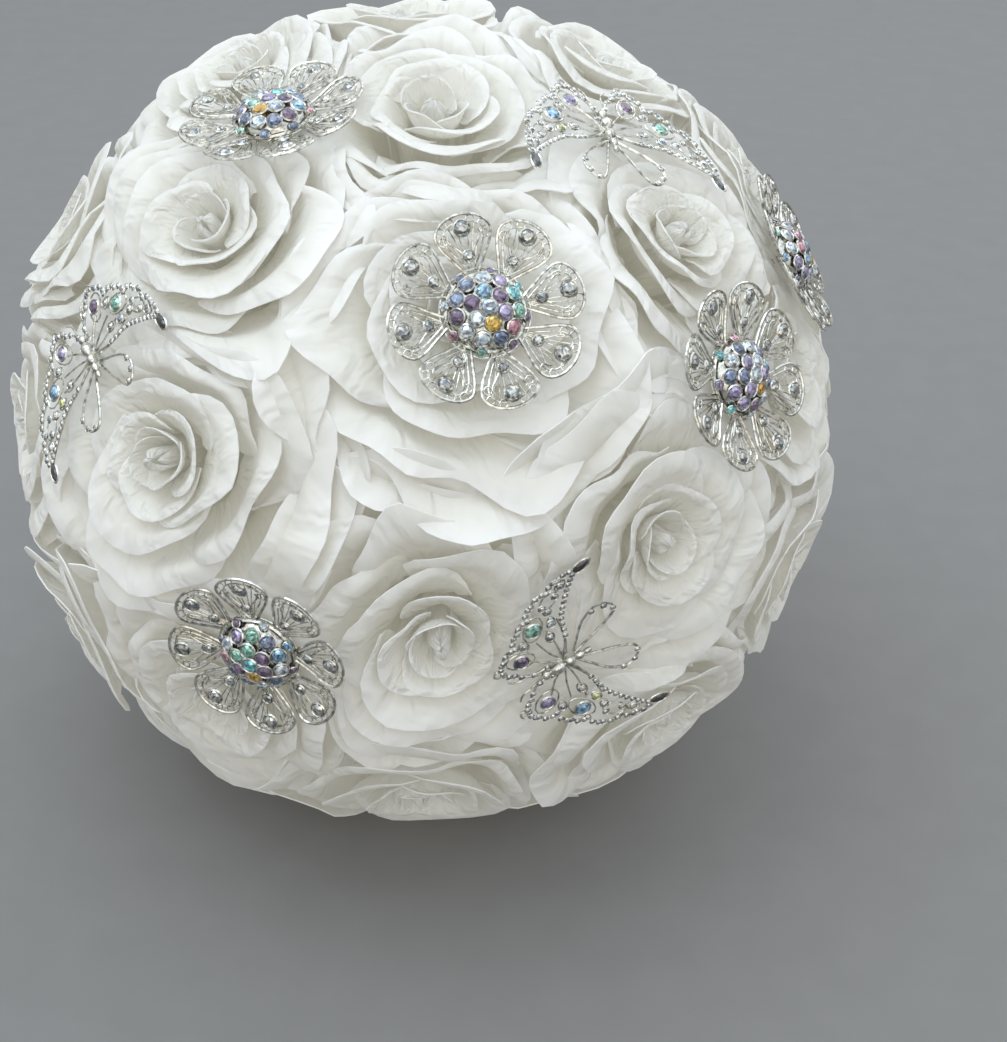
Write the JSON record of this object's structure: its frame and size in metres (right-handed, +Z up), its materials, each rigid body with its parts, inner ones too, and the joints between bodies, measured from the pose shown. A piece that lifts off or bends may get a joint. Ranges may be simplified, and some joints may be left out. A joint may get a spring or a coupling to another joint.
{
  "type": "round rose and brooch hand bouquet",
  "caption": "Round hand-tied bouquet of artificial white roses with wired jewelled flower and butterfly brooches and a ribbon-wrapped handle, lying on a table.",
  "frame": {"origin": "middle of the bouquet's footprint, on the surface it lies on", "axes": "+Z up; the wrapped handle points back along +Y and down to the surface; the face of the bouquet looks forward along -Y and upwards; +X is to the right of a viewer who faces it"},
  "size_m": [0.2732, 0.339, 0.2589],
  "materials": {
    "petals": "soft matt woven petal fabric",
    "stems": "matt moulded stems and calyxes",
    "ribbon": "satin ribbon",
    "silver": "bright silver plate",
    "crystal": "cut stones with a rainbow coating"
  },
  "bodies": {
    "root": {"rose_01": "petals", "rose_02": "petals", "rose_03": "petals", "rose_04": "petals", "rose_05": "petals", "rose_06": "petals", "rose_07": "petals", "rose_08": "petals", "rose_09": "petals", "rose_10": "petals", "rose_11": "petals", "rose_12": "petals", "rose_13": "petals", "rose_14": "petals", "rose_15": "petals", "rose_16": "petals", "rose_17": "petals", "rose_18": "petals", "rose_19": "petals", "rose_20": "petals", "rose_21": "petals", "rose_22": "petals", "rose_23": "petals", "rose_24": "petals", "rose_25": "petals", "rose_26": "petals", "rose_27": "petals", "rose_28": "petals", "rose_29": "petals", "rose_30": "petals", "rose_31": "petals", "stem_bundle": "stems", "ribbon_wrap": "ribbon", "flower_brooch_centre": "silver", "flower_brooch_centre_crystals": "crystal", "flower_brooch_low_left": "silver", "flower_brooch_low_left_crystals": "crystal", "flower_brooch_right": "silver", "flower_brooch_right_crystals": "crystal", "flower_brooch_top_left": "silver", "flower_brooch_top_left_crystals": "crystal", "flower_brooch_far_right": "silver", "flower_brooch_far_right_crystals": "crystal", "butterfly_brooch_top_right": "silver", "butterfly_brooch_left": "silver", "butterfly_brooch_low": "silver"}
  },
  "joints": []
}
